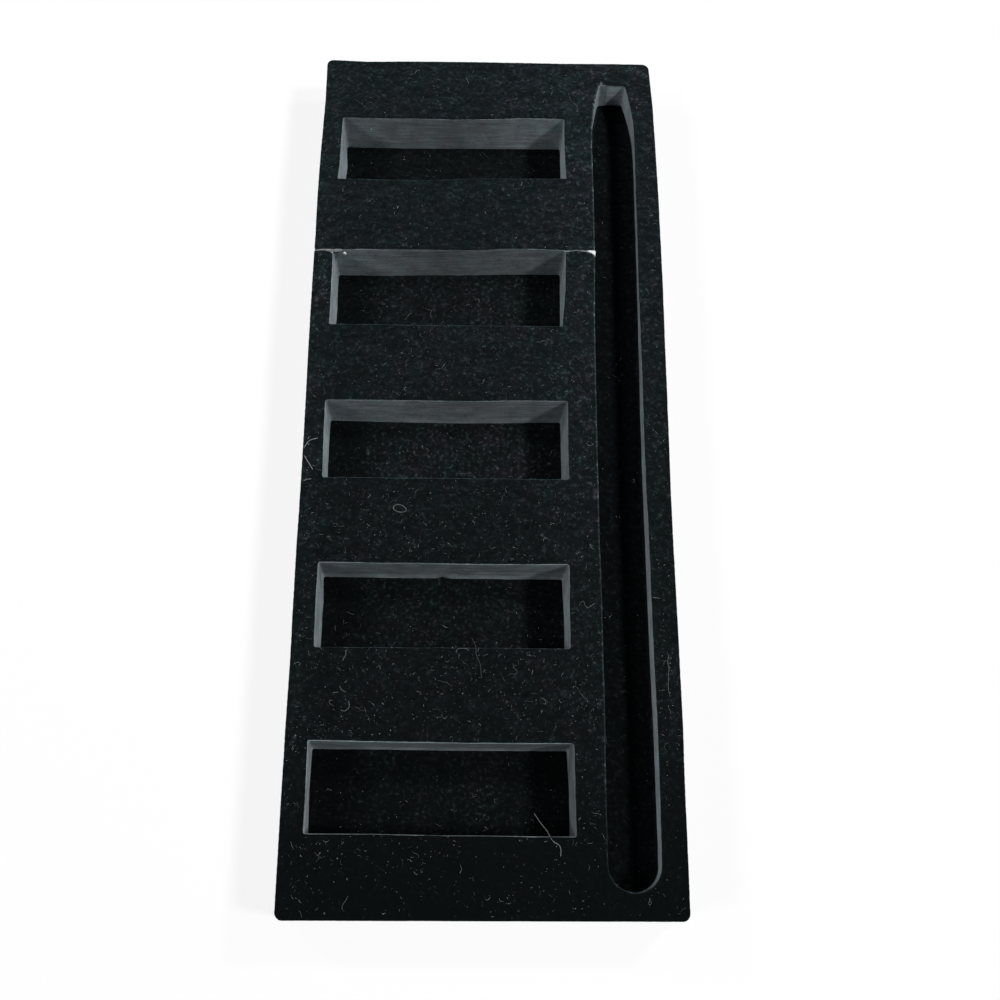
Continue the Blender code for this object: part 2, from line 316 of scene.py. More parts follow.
# The lint that stands out: places and a radius in millimetres, and a tone. Where the places have no height,
# it lies on the top.
STANDING_LIFT = 0.03
STANDING_LINT = (
    (((-17.4, -14.4), (-17.2, -13.7), (-16.3, -13.5), (-15.6, -13.8), (-14.9, -14.4), (-15.1, -15.0),
      (-16.1, -15.1), (-17.0, -14.8), (-17.4, -14.4)), 0.030, 0.8),
    (((-24.1, -50.5), (-23.9, -51.4), (-24.2, -51.9), (-24.8, -52.3), (-25.4, -52.1)), 0.026, 0.7),
    (((-24.7, -41.2), (-25.1, -41.5), (-24.9, -42.1), (-25.5, -43.2)), 0.026, 0.7),
    (((-27.2, -50.3), (-27.6, -50.5), (-27.4, -51.0), (-26.8, -51.3)), 0.022, 0.5),
    (((-25.8, -47.8), (-25.5, -48.5), (-24.7, -48.9)), 0.024, 0.6),
    (((-27.0, -49.0), (-26.0, -48.9)), 0.028, 0.6),
    (((-5.2, -41.6), (-5.1, -41.0), (-4.6, -40.8), (-3.4, -40.8), (-2.9, -41.2)), 0.022, 0.6),
    (((-2.4, -38.9), (-1.7, -40.2), (-1.6, -42.0), (-0.8, -43.6), (-0.6, -46.2)), 0.018, 0.4),
    (((33.3, -41.6), (33.0, -42.9), (33.3, -44.1), (33.0, -45.4), (33.0, -46.6), (32.9, -47.9),
      (33.2, -49.2)), 0.026, 0.6),
    (((31.2, -48.1), (32.4, -48.0)), 0.020, 0.5),
    (((32.8, -50.8), (32.9, -51.4), (33.2, -51.9)), 0.024, 0.6),
    (((17.5, -32.0), (18.0, -31.7), (18.3, -32.7), (18.9, -33.1), (19.4, -32.6), (20.1, -32.2)), 0.024, 0.6),
    (((13.7, -45.7), (14.1, -45.1)), 0.024, 0.6),
    (((17.0, -48.7), (18.3, -49.8), (18.4, -50.3)), 0.020, 0.6),
    (((-34.7, -2.4), (-34.3, -1.7), (-33.9, -1.0), (-33.0, -0.6), (-32.2, -0.4)), 0.030, 1.3),
    (((-34.6, -4.0), (-33.8, -5.2), (-32.8, -6.8)), 0.034, 1.3),
    (((-34.4, -9.1), (-33.9, -8.8), (-33.0, -8.7)), 0.026, 1.1),
    (((-32.1, -6.7), (-31.1, -7.0)), 0.020, 0.5),
    (((17.0, 79.8), (17.4, 77.9), (18.7, 76.8), (18.9, 75.1)), 0.020, 0.6),
    (((10.4, -74.4), (10.9, -74.2)), 0.034, 0.5),
    (((30.8, -30.9), (31.6, -31.0), (32.0, -31.1)), 0.034, 0.7),
    (((9.2, -68.9, 4.5), (10.0, -70.7, 8.0), (10.8, -72.0, 10.5), (11.2, -72.8, 12.0), (11.5, -73.7, 13.15),
      (12.1, -74.4, 13.15), (13.0, -74.8, 13.15), (13.3, -75.6, 13.15), (13.2, -76.7, 13.15)), 0.028, 1.1),
)

# Dust on the top, and at a height on a wall where the row gives one
DUST = (
    (-5.9, -40.6), (-19.4, -52.9), (-12.6, -53.5), (-16.6, -55.5), (-25.2, -53.2), (-18.4, -56.1),
    (-3.9, -48.9), (-8.4, -53.3), (32.2, -41.8), (33.5, -50.8), (6.1, -74.2), (17.2, -72.0), (-33.9, -6.9),
    (-33.8, -1.8),
    (-24.7, 69.5), (-21.9, 73.8), (-17.7, 62.2), (11.5, 77.5), (19.4, 80.7), (31.5, 76.6), (33.2, 61.5),
    (23.5, 48.0), (19.9, 52.6), (18.4, 49.1), (11.7, 42.2), (-34.1, 38.0), (-13.1, -15.7), (-10.4, -11.2),
    (-25.1, 72.6, 8.8), (-27.9, 72.6, 6.9), (-20.8, 72.7, 2.9),
)
DUST_LENGTH = 0.16
DUST_RADIUS = 0.055
DUST_TONE = 1.3


# Noise


def lattice_noise(points, size, seed):
    """Smooth noise from -1 to 1 at each point, between random values at the corners of a lattice."""
    scaled = np.asarray(points, float) / size
    cell = np.floor(scaled)
    share = scaled - cell
    share = share * share * (3 - 2 * share)
    cell = cell.astype(np.int64)
    total = np.zeros(len(scaled))
    for corner in np.ndindex(*(2,) * scaled.shape[1]):
        mixed = np.full(len(scaled), seed * MIX_SEED + MIX_START, np.uint64)
        weight = np.ones(len(scaled))
        for axis, step in enumerate(corner):
            place = (cell[:, axis] + step).astype(np.uint64)
            mixed = (mixed ^ place) * MIX_FACTOR
            mixed ^= mixed >> MIX_FOLD
            weight *= share[:, axis] if step else 1 - share[:, axis]
        total += weight * ((mixed >> MIX_DROP).astype(float) / MIX_HALF - 1)
    return total


def layered_noise(points, size, seed, layers=3):
    """Noise at this size and, at half the height each time, at half the size."""
    total = np.zeros(len(points))
    for layer in range(layers):
        total += lattice_noise(points, size / 2**layer, seed + layer) / 2**layer
    return total


# Outlines


def flat_loops(node, height):
    """The closed outlines of a node's flat faces at one height, the longest first, each anticlockwise."""
    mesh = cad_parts[node].data
    mesh.calc_loop_triangles()
    corners = np.array([vertex.co for vertex in mesh.vertices])
    following = {}
    for triangle in mesh.loop_triangles:
        places = corners[list(triangle.vertices)]
        if np.abs(places[:, 2] - height).max() > SAME_PLACE:
            continue
        keys = [tuple(np.round(place[:2] / SAME_PLACE).astype(int)) for place in places]
        for start, end in zip(keys, keys[1:] + keys[:1]):
            if start in following.get(end, ()):
                following[end].remove(start)
            else:
                following.setdefault(start, []).append(end)
    loops = []
    while any(following.values()):
        first = next(key for key, ends in following.items() if ends)
        loop, here = [first], following[first].pop()
        while here != first:
            loop.append(here)
            here = following[here].pop()
        loops.append(anticlockwise(np.array(loop, float) * SAME_PLACE))
    return sorted(loops, key=lambda loop: -np.ptp(loop, axis=0).sum())


def anticlockwise(loop):
    x, y = loop[:, 0], loop[:, 1]
    area = (x * np.roll(y, -1) - y * np.roll(x, -1)).sum()
    return loop if area > 0 else loop[::-1]


def steps_between(start, end, step):
    """Points from one place on and short of another, no further apart than step."""
    count = max(1, math.ceil(np.linalg.norm(end - start) / step))
    return [start + (end - start) * share for share in np.arange(count) / count]


def subdivided(loop, step):
    """The same outline with no stretch longer than step."""
    following = np.roll(loop, -1, axis=0)
    return np.concatenate([steps_between(start, end, step) for start, end in zip(loop, following)])


def resampled(line, count):
    """This many places along a line, evenly spaced between its corners."""
    share = np.linspace(0, len(line) - 1, count)
    return np.column_stack([np.interp(share, np.arange(len(line)), values) for values in line.T])


def inside(points, loop, holes=()):
    """Which points lie inside a closed outline and in none of its holes."""
    result = np.zeros(len(points), bool)
    low, high = loop.min(0), loop.max(0)
    near = np.flatnonzero(((points >= low) & (points <= high)).all(1))
    x, y = points[near, 0], points[near, 1]
    odd = np.zeros(len(near), bool)
    for (x1, y1), (x2, y2) in zip(loop, np.roll(loop, -1, axis=0)):
        if y1 != y2:
            crossing = (y1 > y) != (y2 > y)
            odd ^= crossing & (x < (x2 - x1) * (y - y1) / (y2 - y1) + x1)
    result[near] = odd
    for hole in holes:
        result &= ~inside(points, hole)
    return result


def pocket_pull(ring):
    """For each point of a pocket's outline, the step that makes the pocket smaller all round by one."""
    middle = (ring.max(0) + ring.min(0)) / 2
    reach = np.ptp(ring, axis=0) / 2 - POCKET_CORNER
    return -np.clip((ring - middle) / reach, -1, 1)


def slot_pull(ring):
    """The same for the slot, which is round at its near end and has corners at its far end."""
    low, high = ring.min(0), ring.max(0)
    radius = (high[0] - low[0]) / 2
    middle_x = (high[0] + low[0]) / 2
    round_y = low[1] + radius
    far_y = high[1] - SLOT_CORNER
    left, right = slot_sides(ring, ring[:, 1])
    centre, half = (left + right) / 2, (right - left) / 2
    x_share = np.clip((ring[:, 0] - centre) / (half - SLOT_CORNER), -1, 1)
    y_share = np.clip((ring[:, 1] - round_y) / (far_y - round_y), 0, 1)
    pull = -np.column_stack([x_share, y_share])
    round_part = ring[:, 1] < round_y
    pull[round_part] = -(ring[round_part] - (middle_x, round_y)) / radius
    return pull


def slot_sides(ring, y):
    """The X of the slot's left and right side at each Y."""
    middle_x = (ring[:, 0].max() + ring[:, 0].min()) / 2
    sides = []
    for part in (ring[ring[:, 0] < middle_x], ring[ring[:, 0] >= middle_x]):
        order = np.argsort(part[:, 1])
        sides.append(np.interp(y, part[order, 1], part[order, 0]))
    return sides


def strays_of(ring, strays):
    """How far each point of an outline strays, from the strays of its four sides."""
    low, high = ring.min(0), ring.max(0)
    from_left, from_near = ((ring - low) / (high - low)).T
    from_far = 1 - from_near

    def along(values, share):
        return np.interp(share, np.linspace(0, 1, len(values)), np.array(values) / STRAYS_PER_MM) * MM

    x = (1 - from_left) * along(strays.left, from_far) + from_left * along(strays.right, from_far)
    y = from_near * along(strays.far, from_left) + from_far * along(strays.near, from_left)
    return np.column_stack([x, y])


def side_shares(pull):
    """How much each point of an outline belongs to each of the four sides."""
    x, y = pull.T
    return Sides(*(np.clip(share, 0, 1) for share in (x, -x, -y, y)))


class Opening:
    """A cut edge of the foam: its outline in the model and how the real cut strays from it."""

    def __init__(self, ring, pull, floor, mouth, foot, seed, roughness=1.0, flare=0.0, tones=None, marks=()):
        self.ring, self.pull, self.floor = ring, pull, floor
        self.mouth, self.foot = strays_of(ring, mouth), strays_of(ring, foot)
        self.marks, self.seed, self.roughness = marks, seed, roughness
        self.shares = side_shares(pull)
        self.flare = flare * self.shares.far
        # Painted light and shade: each cut side is painted lighter or darker by its tone, for how the light
        # falls on it.
        self.tone = np.ones(len(ring))
        if tones:
            total = sum(self.shares)
            toned = sum(share * tone for share, tone in zip(self.shares, tones))
            self.tone = toned / np.where(total > 0, total, 1)

    def outline(self, height):
        """The outline at this height, without the fine unevenness of the cut."""
        share = (FOAM_TOP - height) / (FOAM_TOP - self.floor)
        flared = self.flare * max(0.0, (share - 1 + FLARE_SHARE) / FLARE_SHARE) ** FLARE_POWER
        moved = self.ring + self.mouth * (1 - share) + self.foot * share
        return moved + self.pull * flared[:, None]

    def wall(self, height):
        """The outline at this height with the waves, ripples and marks of the cut."""
        depth = FOAM_TOP - height
        along = np.column_stack([self.ring, np.full(len(self.ring), height)])
        streaked = along / (WALL_STREAK_LENGTH, WALL_STREAK_LENGTH, WALL_STREAK_HEIGHT)
        uneven = WALL_WAVE * lattice_noise(along, WALL_WAVE_SIZE, self.seed)
        uneven += WALL_RIPPLE * layered_noise(along, WALL_RIPPLE_SIZE, self.seed + 5)
        uneven += WALL_STREAK * layered_noise(streaked, 1.0, self.seed + 11, 2)
        uneven -= MOUTH_CHAMFER * max(0.0, 1 - depth / MOUTH_CHAMFER)
        for mark in self.marks:
            place = self.ring[:, 1] if mark.side in ("left", "right") else self.ring[:, 0]
            beside = (place / MM - mark.place) / mark.length
            below = (depth / MM - mark.depth) / mark.height
            sunk = mark.sink * MM * np.exp(-(beside**2 + below**2))
            uneven -= sunk * getattr(self.shares, mark.side)
        return self.outline(height) + self.pull * self.roughness * uneven[:, None]


top_low, top_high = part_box("top_velvet")
strip_low, strip_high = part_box("slot_velvet")
BOARD_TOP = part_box("base_board")[1].z
FOAM_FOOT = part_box("floor_velvet")[1].z
FOAM_TOP = top_low.z
PILE_TOP = top_high.z
SLOT_FOAM_FLOOR = strip_low.z
SLOT_FLOOR = strip_high.z

mouth_loops = flat_loops("foam_block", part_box("foam_block")[1].z)
rim_ring, slot_ring, *pocket_rings = [subdivided(loop, WALL_STEP) for loop in mouth_loops]
pocket_rings.sort(key=lambda ring: -ring[:, 1].mean())
rim = Opening(rim_ring, pocket_pull(rim_ring), FOAM_FOOT, RIM_STRAYS, RIM_STRAYS, RIM_SEED, RIM_ROUGHNESS)
slot = Opening(
    slot_ring, slot_pull(slot_ring), SLOT_FOAM_FLOOR, SLOT_MOUTH_STRAYS, SLOT_FOOT_STRAYS, SLOT_SEED,
    tones=SLOT_PAINTED_LIGHT,
)
pockets = [
    Opening(
        ring, pocket_pull(ring), FOAM_FOOT, MOUTH_STRAYS[index], FOOT_STRAYS[index], POCKET_SEED + index,
        flare=FLARES[index], tones=WALL_PAINTED_LIGHT[index], marks=[mark for mark in MARKS if mark.pocket == index],
    )
    for index, ring in enumerate(pocket_rings)
]


# Meshes


def stop_tones(points, along, across=EVEN):
    """How light some points are, by the stops along and across the insert."""
    x, y = points.T / MM
    return np.interp(y, *np.array(along).T) * np.interp(x, *np.array(across).T)


def add_object(name, data):
    made = bpy.data.objects.new(name, data)
    bpy.context.scene.collection.objects.link(made)
    return made


class Surface:
    """One mesh, made of rings, bands between them and flat fillings."""

    def __init__(self):
        self.points, self.tones, self.faces, self.count = [], [], [], 0

    def add(self, points, tone=1.0):
        """Adds points, how light they are, and returns their indexes."""
        self.points.append(np.asarray(points, float))
        self.tones.append(np.broadcast_to(tone, len(points)))
        self.count += len(points)
        return np.arange(self.count - len(points), self.count)

    def ring(self, outline, height, tone=1.0):
        return self.add(np.column_stack([outline, np.broadcast_to(height, len(outline))]), tone)

    def quads(self, *corners):
        """Quads from as many first, second, third and fourth corners."""
        self.faces += np.column_stack(corners).tolist()

    def band(self, here, there):
        """Quads between two rings of as many points."""
        self.quads(here, np.roll(here, -1), np.roll(there, -1), there)

    def bands(self, rings):
        for here, there in zip(rings, rings[1:]):
            self.band(here, there)

    def fill(self, rings, inner=None):
        """Triangles inside the first ring and outside the others, with further points among them."""
        indexes = np.concatenate([*rings, inner] if inner is not None else rings)
        placed = np.concatenate(self.points)
        edges, start = [], 0
        for ring in rings:
            local = np.arange(start, start + len(ring))
            edges += np.column_stack([local, np.roll(local, -1)]).tolist()
            start += len(ring)
        flat = [Vector(place) for place in placed[indexes][:, :2] / MM]
        made = delaunay_2d_cdt(flat, edges, [], 0, FILL_TOLERANCE)
        places, triangles, origins = np.array(made[0]) * MM, np.array(made[2]), made[3]
        known = np.array([indexes[origin[0]] if origin else -1 for origin in origins])
        crossings = known < 0
        known[crossings] = self.ring(places[crossings], placed[indexes[0], 2])
        outlines = [placed[ring][:, :2] for ring in rings]
        kept = inside(places[triangles].mean(1), outlines[0], outlines[1:])
        self.faces += known[triangles[kept]].tolist()

    def pile(self, outline, holes, height, depth, seeds, tone=1.0, along=EVEN, across=EVEN):
        """A jittered and wavy grid of points inside an outline and outside its holes."""
        low, high = outline.min(0), outline.max(0)
        x, y = (np.arange(low[axis] + PILE_STEP / 2, high[axis], PILE_STEP) for axis in (0, 1))
        grid = np.stack(np.meshgrid(x, y, indexing="ij"), -1)
        grid[:, 1::2, 0] += PILE_STEP / 2
        grid = grid.reshape(-1, 2)
        random = np.random.default_rng(seeds[0])
        grid += random.uniform(-1, 1, grid.shape) * PILE_STEP * PILE_JITTER_SHARE
        points = grid[inside(grid, outline, holes)]
        heights = height - depth + depth * layered_noise(points, PILE_WAVE_SIZE, seeds[1])
        return self.ring(points, heights, tone * stop_tones(points, along, across))

    def skin(self, rows):
        """Faces between rows of points, from the last row back to the first, closed at both ends."""
        for here, there in zip(rows, np.roll(rows, -1, axis=0)):
            self.quads(here[:-1], there[:-1], there[1:], here[1:])
        self.faces += [rows[:, 0].tolist(), rows[::-1, -1].tolist()]

    def tube(self, path, radii, tone):
        """A three-sided fibre along a path, closed at both ends."""
        ahead = np.gradient(path, axis=0)
        ahead /= np.linalg.norm(ahead, axis=1)[:, None]
        across = np.cross(ahead, (0.0, 0.0, 1.0))
        across /= np.maximum(np.linalg.norm(across, axis=1), 1e-9)[:, None]
        over = np.cross(across, ahead)
        rings = []
        for angle in TUBE_ANGLES:
            offset = across * math.cos(angle) + over * math.sin(angle)
            rings.append(self.add(path + offset * np.reshape(radii, (-1, 1)), tone))
        self.skin(np.array(rings))

    def object(self, name, material):
        """The finished piece: faces turned outwards, smooth but for its sharp edges."""
        mesh = bpy.data.meshes.new(name)
        mesh.from_pydata(np.concatenate(self.points).tolist(), [], self.faces)
        tone = mesh.attributes.new("tone", "FLOAT", "POINT")
        tone.data.foreach_set("value", np.concatenate(self.tones).astype(np.float32))
        form = bmesh.new()
        form.from_mesh(mesh)
        bmesh.ops.recalc_face_normals(form, faces=form.faces)
        form.to_mesh(mesh)
        form.free()
        mesh.shade_smooth()
        mesh.set_sharp_from_angle(angle=SHARP_ANGLE)
        mesh.materials.append(material)
        return add_object(name, mesh)


# Foam


def build_foam(material):
    surface = Surface()
    tops, bottoms = [], []
    for opening in (rim, *pockets, slot):
        levels = RIM_LEVELS if opening is rim else WALL_LEVELS
        heights = list(np.linspace(opening.floor, FOAM_TOP, levels))
        heights.insert(-1, FOAM_TOP - MOUTH_CHAMFER)
        rings = [surface.ring(opening.wall(height), height, opening.tone) for height in heights]
        surface.bands(rings)
        tops.append(rings[-1])
        if opening is slot:
            surface.fill([rings[0]])
        else:
            bottoms.append(rings[0])
    surface.fill(tops)
    surface.fill(bottoms)
    return surface.object("cut_foam", material)


def ridge(surface, places, half_width, seed):
    """A rough swollen line of torn foam along some places, tapered at both ends."""
    line = np.array(places) * MM
    count = math.ceil(np.linalg.norm(np.diff(line, axis=0), axis=1).sum() / (LIP_STEP * MM))
    centre = resampled(line, count)
    ahead = np.gradient(centre, axis=0)
    across = np.column_stack([-ahead[:, 1], ahead[:, 0]]) / np.linalg.norm(ahead, axis=1)[:, None]
    from_end = np.minimum(np.arange(count), np.arange(count)[::-1])
    taper = np.clip(from_end / RIDGE_TAPER_STEPS, RIDGE_END_SHARE, 1)
    rows = []
    for step, angle in enumerate(np.linspace(0, math.pi, RIDGE_ROWS)):
        rough = 1 + RIDGE_ROUGHNESS * lattice_noise(centre, TEAR_GRAIN * MM, seed + step)
        sideways = half_width * MM * taper * rough * math.cos(angle)
        rise = RIDGE_HEIGHT * MM * taper * rough * math.sin(angle) - RIDGE_SUNK * MM
        rows.append(surface.ring(centre + across * sideways[:, None], FOAM_TOP + rise, TORN_TONE))
    surface.skin(np.array(rows))


def flake(surface, places, foot, thickness, seed):
    """A torn-off flat bit with a rough domed top."""
    outline = subdivided(anticlockwise(np.array(places) * MM), LIP_STEP * MM)
    middle = outline.mean(0)
    rough = lattice_noise(outline, TEAR_GRAIN * MM, seed)[:, None]
    ragged = outline + (outline - middle) * FLAKE_RAGGEDNESS * rough
    rings = [surface.ring(ragged, foot), surface.ring(ragged, foot + 0.5 * thickness)]
    for scale, rise in ((0.8, 0.85), (0.45, 1.0)):
        bumps = FLAKE_ROUGHNESS * lattice_noise(ragged, FINE_TEAR_GRAIN * MM, seed + 3)
        rings.append(surface.ring(middle + (ragged - middle) * scale, foot + thickness * (rise + bumps)))
    surface.bands(rings)
    surface.faces += [rings[0].tolist(), rings[-1].tolist()]


def build_torn_foam(material):
    surface = Surface()
    for index, (places, half_width) in enumerate(TORN_RIDGES):
        ridge(surface, places, half_width, RIDGE_SEED + 10 * index)
    flake(surface, TORN_FLAKE, FOAM_TOP, PILE_TOP - FOAM_TOP, FLAKE_SEED)
    flake(surface, TORN_CHIP, FOAM_TOP - CHIP_SUNK * MM, CHIP_THICKNESS * MM, CHIP_SEED)
    return surface.object("torn_foam", material)


# Velvet


# An edge of the top velvet: its outline, and for each point the step away from the velvet, how far the velvet
# stands back, how round its edge is and how much lighter its pile is painted there, a painted highlight.
Edge = namedtuple("Edge", "outline pull setback roll tone")


def edge_of(outline, pull, setback, roll, tone=1.0):
    setback, roll, tone = (np.broadcast_to(value, len(outline)) for value in (setback, roll, tone))
    return Edge(outline, pull, setback, roll, tone)


def lip(places):
    """A torn edge along some places, ragged and with no roundness."""
    line = np.array(places) * MM
    stretches = [steps_between(one, other, LIP_STEP * MM) for one, other in zip(line, line[1:])]
    outline = np.concatenate([*stretches, line[-1:]])
    outline[1:-1, 1] += LIP_RAG * MM * lattice_noise(outline[1:-1], FINE_TEAR_GRAIN * MM, LIP_SEED)
    return edge_of(outline, np.zeros_like(outline), 0.0, 0.0)


def backwards(edge):
    return Edge(*(values[::-1] for values in edge))


def stretch(edge, lost):
    """What is left of a closed edge without its lost points, from behind them round to the front of them."""
    last = max(index for index in np.flatnonzero(lost) if not lost[(index + 1) % len(lost)])
    order = [index for index in np.roll(np.arange(len(lost)), -last - 1) if not lost[index]]
    return Edge(*(values[order] for values in edge))


def torn_edge():
    """The edge that the tear makes of the rim, the torn pocket and the slot, which it joins."""
    left_far, left_near, right_far, right_near = (lip(places) for places in LIPS)
    around = edge_of(rim.outline(FOAM_TOP), -rim.pull, 0.0, RIM_ROLL)
    torn = pockets[TORN_POCKET]
    within = backwards(edge_of(torn.wall(FOAM_TOP), torn.pull, SETBACKS[TORN_POCKET], POCKET_ROLL))
    slot_edge, on_left = slot.wall(FOAM_TOP), slot.shares.left
    bared = (slot_edge[:, 1] > SLOT_END_FROM) & (on_left > 0.5)
    setback = np.where(bared, SLOT_END_SETBACK, SLOT_SETBACK)
    # Painted highlight along the slot's left edge.
    tone = 1 + (SLOT_LEFT_EDGE_HIGHLIGHT - 1) * on_left
    beside = backwards(edge_of(slot_edge, slot.pull, setback, SLOT_ROLL, tone))

    def between(edge, near_place, far_place):
        """The points of an edge's left side between two places."""
        x, y = edge.outline.T
        return (x < x.mean()) & (y > near_place[1]) & (y < far_place[1])

    around = stretch(around, between(around, left_near.outline[0], left_far.outline[0]))
    beside = stretch(beside, between(beside, right_near.outline[-1], right_far.outline[-1]))
    x, y = within.outline.T
    right_pull, far_pull = within.pull.T
    on_far = (far_pull < -STRAIGHT_PULL) & (np.abs(right_pull) < STRAIGHT_PULL)
    lost_left = (right_pull > STRAIGHT_PULL) & (y > left_near.outline[-1, 1])
    lost_right = (right_pull < -STRAIGHT_PULL) & (y > right_near.outline[0, 1])
    far_side = stretch(within, ~(on_far & (x > left_far.outline[-1, 0]) & (x < right_far.outline[0, 0])))
    others = stretch(within, on_far | lost_left | lost_right)
    near_lips = (backwards(right_near), others, backwards(left_near))
    parts = (around, left_far, far_side, right_far, beside, *near_lips)
    return Edge(*(np.concatenate(values) for values in zip(*parts)))


def roll_rings(surface, edge, seed):
    """The rings of the top velvet's edge, from the pile's top down to its underside."""
    rings = []
    fuzz = EDGE_FUZZ * layered_noise(edge.outline, EDGE_FUZZ_SIZE, seed)
    back = edge.setback + SETBACK_CHANGE * lattice_noise(edge.outline, SETBACK_CHANGE_SIZE, seed + 3)
    out = np.maximum(back + fuzz, np.minimum(edge.setback, 0) - EDGE_OVERHANG)
    for angle in np.linspace(0, math.pi / 2, ROLL_STEPS + 1):
        rolled = out + edge.roll * (1 - math.sin(angle))
        height = PILE_TOP - edge.roll * (1 - math.cos(angle))
        tone = (1 + (edge.tone - 1) * math.sin(angle)) * stop_tones(edge.outline, *TOP_PAINTED_SHADE_AND_TONES)
        rings.append(surface.ring(edge.outline - edge.pull * rolled[:, None], height, tone))
    rings.append(surface.ring(edge.outline - edge.pull * out[:, None], FOAM_TOP, edge.tone))
    return rings


def build_top_velvet(material):
    surface = Surface()
    shapes = [torn_edge()]
    for index, pocket in enumerate(pockets):
        if index != TORN_POCKET:
            # Painted highlight along the pocket's near edge.
            tone = 1 + (NEAR_EDGE_HIGHLIGHTS[index] - 1) * pocket.shares.near
            shapes.append(edge_of(pocket.wall(FOAM_TOP), pocket.pull, SETBACKS[index], POCKET_ROLL, tone))
    edges = [roll_rings(surface, shape, TOP_EDGE_SEED + index) for index, shape in enumerate(shapes)]
    placed = np.concatenate(surface.points)
    clear = []
    for rings, shape in zip(edges, shapes):
        surface.bands(rings)
        clear.append(placed[rings[0]][:, :2] - shape.pull * EDGE_CLEARANCE)
    inner = surface.pile(clear[0], clear[1:], PILE_TOP, TOP_PILE_WAVE, TOP_PILE_SEEDS, 1.0, *TOP_PAINTED_SHADE_AND_TONES)
    surface.fill([rings[0] for rings in edges], inner)
    surface.fill([rings[-1] for rings in edges])
    return surface.object("top_pile", material)


def build_floor_velvet(material):
    """The sheet under the foam. Its pile is modelled where a pocket shows it."""
    surface = Surface()
    outline = rim.outline(FOAM_FOOT)
    edge = []
    for height, inset in ((BOARD_TOP, 0.0), (FOAM_FOOT - FLOOR_EDGE, 0.0), (FOAM_FOOT, FLOOR_EDGE)):
        edge.append(surface.ring(outline + rim.pull * inset, height))
    surface.bands(edge)
    inner = []
    for index, pocket in enumerate(pockets):
        # Painted light and shade: each floor lighter or darker by pocket, and a painted shadow towards its
        # ends.
        window = pocket.outline(FOAM_FOOT) - pocket.pull * FLOOR_UNDER_WALL
        inner.append(surface.pile(
            window, (), FOAM_FOOT, FLOOR_PILE_WAVE, FLOOR_PILE_SEEDS + index, FLOOR_PAINTED_LIGHT[index],
            across=FLOOR_PAINTED_SHADOW_ACROSS,
        ))
    surface.fill([edge[-1]], np.concatenate(inner))
    surface.fill([edge[0]])
    return surface.object("floor_pile", material)


def build_slot_velvet(material):
    """The strip in the slot, cut a little wide, so that its edges stand up along the foam."""
    surface = Surface()
    pull = slot.pull
    outline = slot.outline(SLOT_FLOOR) + pull * STRIP_CLEARANCE
    uppers, lowers = [], []
    for share in np.linspace(0, 1, STRIP_TURN_STEPS + 1):
        rise = STRIP_TURN_UP * (1 - share) ** 2
        ring = outline + pull * STRIP_TURN_RUN * share
        uppers.append(surface.ring(ring, SLOT_FLOOR + rise))
        lowers.append(surface.ring(ring, SLOT_FOAM_FLOOR + STRIP_LIFT + rise * (1 - share)))
    surface.bands(uppers)
    surface.bands(lowers)
    surface.band(uppers[0], lowers[0])
    window = outline + pull * (STRIP_TURN_RUN + EDGE_CLEARANCE)
    surface.fill([uppers[-1]], surface.pile(window, (), SLOT_FLOOR, FLOOR_PILE_WAVE, STRIP_PILE_SEEDS))
    surface.fill([lowers[-1]])
    return surface.object("slot_pile", material)


# Lint


def fibre(random, start, height, length, radius):
    """The path and the radii of a short curved fibre that lies on the pile from a starting place."""
    count, bend = next((count, bend) for longest, count, bend in FIBRE_BENDS if length < longest * MM)
    turns = np.cumsum(random.normal(0, bend, count - 1)) + random.uniform(0, 2 * math.pi)
    steps = np.column_stack([np.cos(turns), np.sin(turns)]) * length / (count - 1)
    places = np.vstack([start, start + np.cumsum(steps, axis=0)])
    rise = radius + np.sin(np.linspace(0, math.pi, count)) * random.uniform(0, FIBRE_ARCH) * length
    taper = np.interp(np.linspace(0, 1, count), *FIBRE_TAPER)
    return np.column_stack([places, height + rise]), radius * taper


def scatter(surface, random, starts, height, field):
    """Fibres of many lengths from some starting places, without those that leave a field's outline."""
    fibres = []
    for start in starts:
        drawn = random.uniform()
        lengths, radii = next((lengths, radii) for up_to, lengths, radii in LINT_KINDS if drawn < up_to)
        length, radius = random.uniform(*lengths), random.uniform(*radii)
        path, radii = fibre(random, start, height, length * MM, radius * MM)
        fibres.append((path, radii, LINT_TONE * random.uniform(*LINT_TONE_SHARES) ** 2))
    within = inside(np.concatenate([path[:, :2] for path, _, _ in fibres]), field)
    ends = np.cumsum([len(path) for path, _, _ in fibres])
    for (path, radii, tone), kept in zip(fibres, np.split(within, ends[:-1])):
        if kept.all():
            surface.tube(path, radii, tone)


